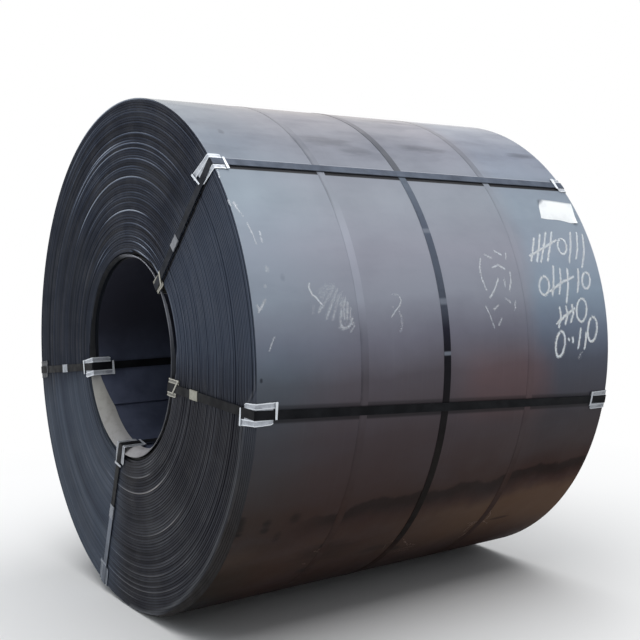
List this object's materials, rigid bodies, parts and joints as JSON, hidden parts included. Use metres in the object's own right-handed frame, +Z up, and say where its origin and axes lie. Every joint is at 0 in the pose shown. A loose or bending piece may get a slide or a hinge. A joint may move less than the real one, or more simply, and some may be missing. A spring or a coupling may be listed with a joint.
{
  "type": "strapped steel coil",
  "caption": "Wound coil of hot-rolled steel strip lying on its barrel, with eye straps over corner protectors, straps round the barrel, crimped seals and rings lining the eye.",
  "frame": {"origin": "on the floor under the middle of the coil", "axes": "+Y along the coil's axis away from the near end, +Z up, +X the side on which the label and the chalk numbers are"},
  "size_m": [2.023, 1.7006, 2.0207],
  "materials": {
    "mill_scale": "dark blue-grey mill scale, semi-matt, with cut strip edges on the ends",
    "blued_strap": "blued and waxed black steel strapping",
    "scaled_strap": "steel strapping dulled to the tone of the sheet",
    "galvanised": "galvanised sheet, slightly dulled",
    "ring_sheet": "plain pale sheet, matt",
    "label_paper": "blank white paper label, slightly curled",
    "chalk": "dry white marking chalk"
  },
  "bodies": {
    "root": {"body_strap_far": "scaled_strap", "body_strap_middle": "blued_strap", "body_strap_near": "scaled_strap", "coil": "mill_scale", "eye_protector_1_far": "galvanised", "eye_protector_1_near": "galvanised", "eye_protector_2_far": "galvanised", "eye_protector_2_near": "galvanised", "eye_protector_3_far": "galvanised", "eye_protector_3_near": "galvanised", "eye_protector_4_far": "galvanised", "eye_protector_4_near": "galvanised", "eye_ring_far": "ring_sheet", "eye_ring_near": "ring_sheet", "eye_strap_1": "blued_strap", "eye_strap_2": "blued_strap", "eye_strap_3": "blued_strap", "eye_strap_4": "blued_strap", "eye_strap_seal_1": "galvanised", "eye_strap_seal_2": "galvanised", "eye_strap_seal_3": "galvanised", "eye_strap_seal_4": "galvanised", "rim_protector_1_far": "galvanised", "rim_protector_1_near": "galvanised", "rim_protector_2_far": "galvanised", "rim_protector_2_near": "galvanised", "rim_protector_3_far": "galvanised", "rim_protector_3_near": "galvanised", "rim_protector_4_far": "galvanised", "rim_protector_4_near": "galvanised"}
  },
  "joints": []
}
